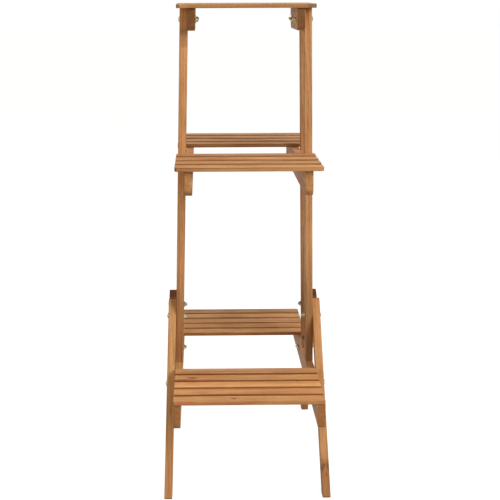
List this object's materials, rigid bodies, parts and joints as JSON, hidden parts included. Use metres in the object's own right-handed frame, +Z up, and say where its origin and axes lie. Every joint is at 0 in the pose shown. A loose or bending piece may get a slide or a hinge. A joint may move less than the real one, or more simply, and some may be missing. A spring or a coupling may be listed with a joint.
{
  "type": "tiered plant stand",
  "caption": "Two-sided tiered plant stand of slatted wooden shelves on two bolted side frames with splayed legs.",
  "frame": {"origin": "on the floor under the middle of the stand", "axes": "+Z up, -Y out of the front shelves, +X to the right seen from the front"},
  "size_m": [0.4166, 0.7084, 1.2],
  "materials": {
    "slat_wood": "oiled hardwood, satin",
    "upright_wood": "oiled hardwood, satin",
    "bearer_wood": "oiled hardwood, satin",
    "leg_wood": "oiled hardwood, satin",
    "dowel_wood": "plain beech",
    "zinc_steel": "zinc plated"
  },
  "bodies": {
    "root": {"left_front_foot_dowel": "dowel_wood", "left_front_leg": "leg_wood", "left_front_leg_lower_bolt": "zinc_steel", "left_front_leg_upper_bolt": "zinc_steel", "left_front_upright": "upright_wood", "left_low_bearer": "bearer_wood", "left_mid_bearer": "bearer_wood", "left_mid_bearer_front_bolt": "zinc_steel", "left_mid_bearer_rear_bolt": "zinc_steel", "left_rear_foot_dowel": "dowel_wood", "left_rear_leg": "leg_wood", "left_rear_leg_lower_bolt": "zinc_steel", "left_rear_leg_upper_bolt": "zinc_steel", "left_rear_upright": "upright_wood", "left_top_bearer": "bearer_wood", "left_top_bearer_front_bolt": "zinc_steel", "left_top_bearer_rear_bolt": "zinc_steel", "low_front_shelf_slat_1": "slat_wood", "low_front_shelf_slat_2": "slat_wood", "low_front_shelf_slat_3": "slat_wood", "low_front_shelf_slat_4": "slat_wood", "low_front_shelf_slat_5": "slat_wood", "low_rear_shelf_slat_1": "slat_wood", "low_rear_shelf_slat_2": "slat_wood", "low_rear_shelf_slat_3": "slat_wood", "low_rear_shelf_slat_4": "slat_wood", "low_rear_shelf_slat_5": "slat_wood", "mid_front_shelf_slat_1": "slat_wood", "mid_front_shelf_slat_2": "slat_wood", "mid_front_shelf_slat_3": "slat_wood", "mid_front_shelf_slat_4": "slat_wood", "mid_rear_shelf_slat_1": "slat_wood", "mid_rear_shelf_slat_2": "slat_wood", "mid_rear_shelf_slat_3": "slat_wood", "mid_rear_shelf_slat_4": "slat_wood", "right_front_foot_dowel": "dowel_wood", "right_front_leg": "leg_wood", "right_front_leg_lower_bolt": "zinc_steel", "right_front_leg_upper_bolt": "zinc_steel", "right_front_upright": "upright_wood", "right_low_bearer": "bearer_wood", "right_mid_bearer": "bearer_wood", "right_mid_bearer_front_bolt": "zinc_steel", "right_mid_bearer_rear_bolt": "zinc_steel", "right_rear_foot_dowel": "dowel_wood", "right_rear_leg": "leg_wood", "right_rear_leg_lower_bolt": "zinc_steel", "right_rear_leg_upper_bolt": "zinc_steel", "right_rear_upright": "upright_wood", "right_top_bearer": "bearer_wood", "right_top_bearer_front_bolt": "zinc_steel", "right_top_bearer_rear_bolt": "zinc_steel", "top_shelf_slat_1": "slat_wood", "top_shelf_slat_2": "slat_wood", "top_shelf_slat_3": "slat_wood", "top_shelf_slat_4": "slat_wood"}
  },
  "joints": []
}
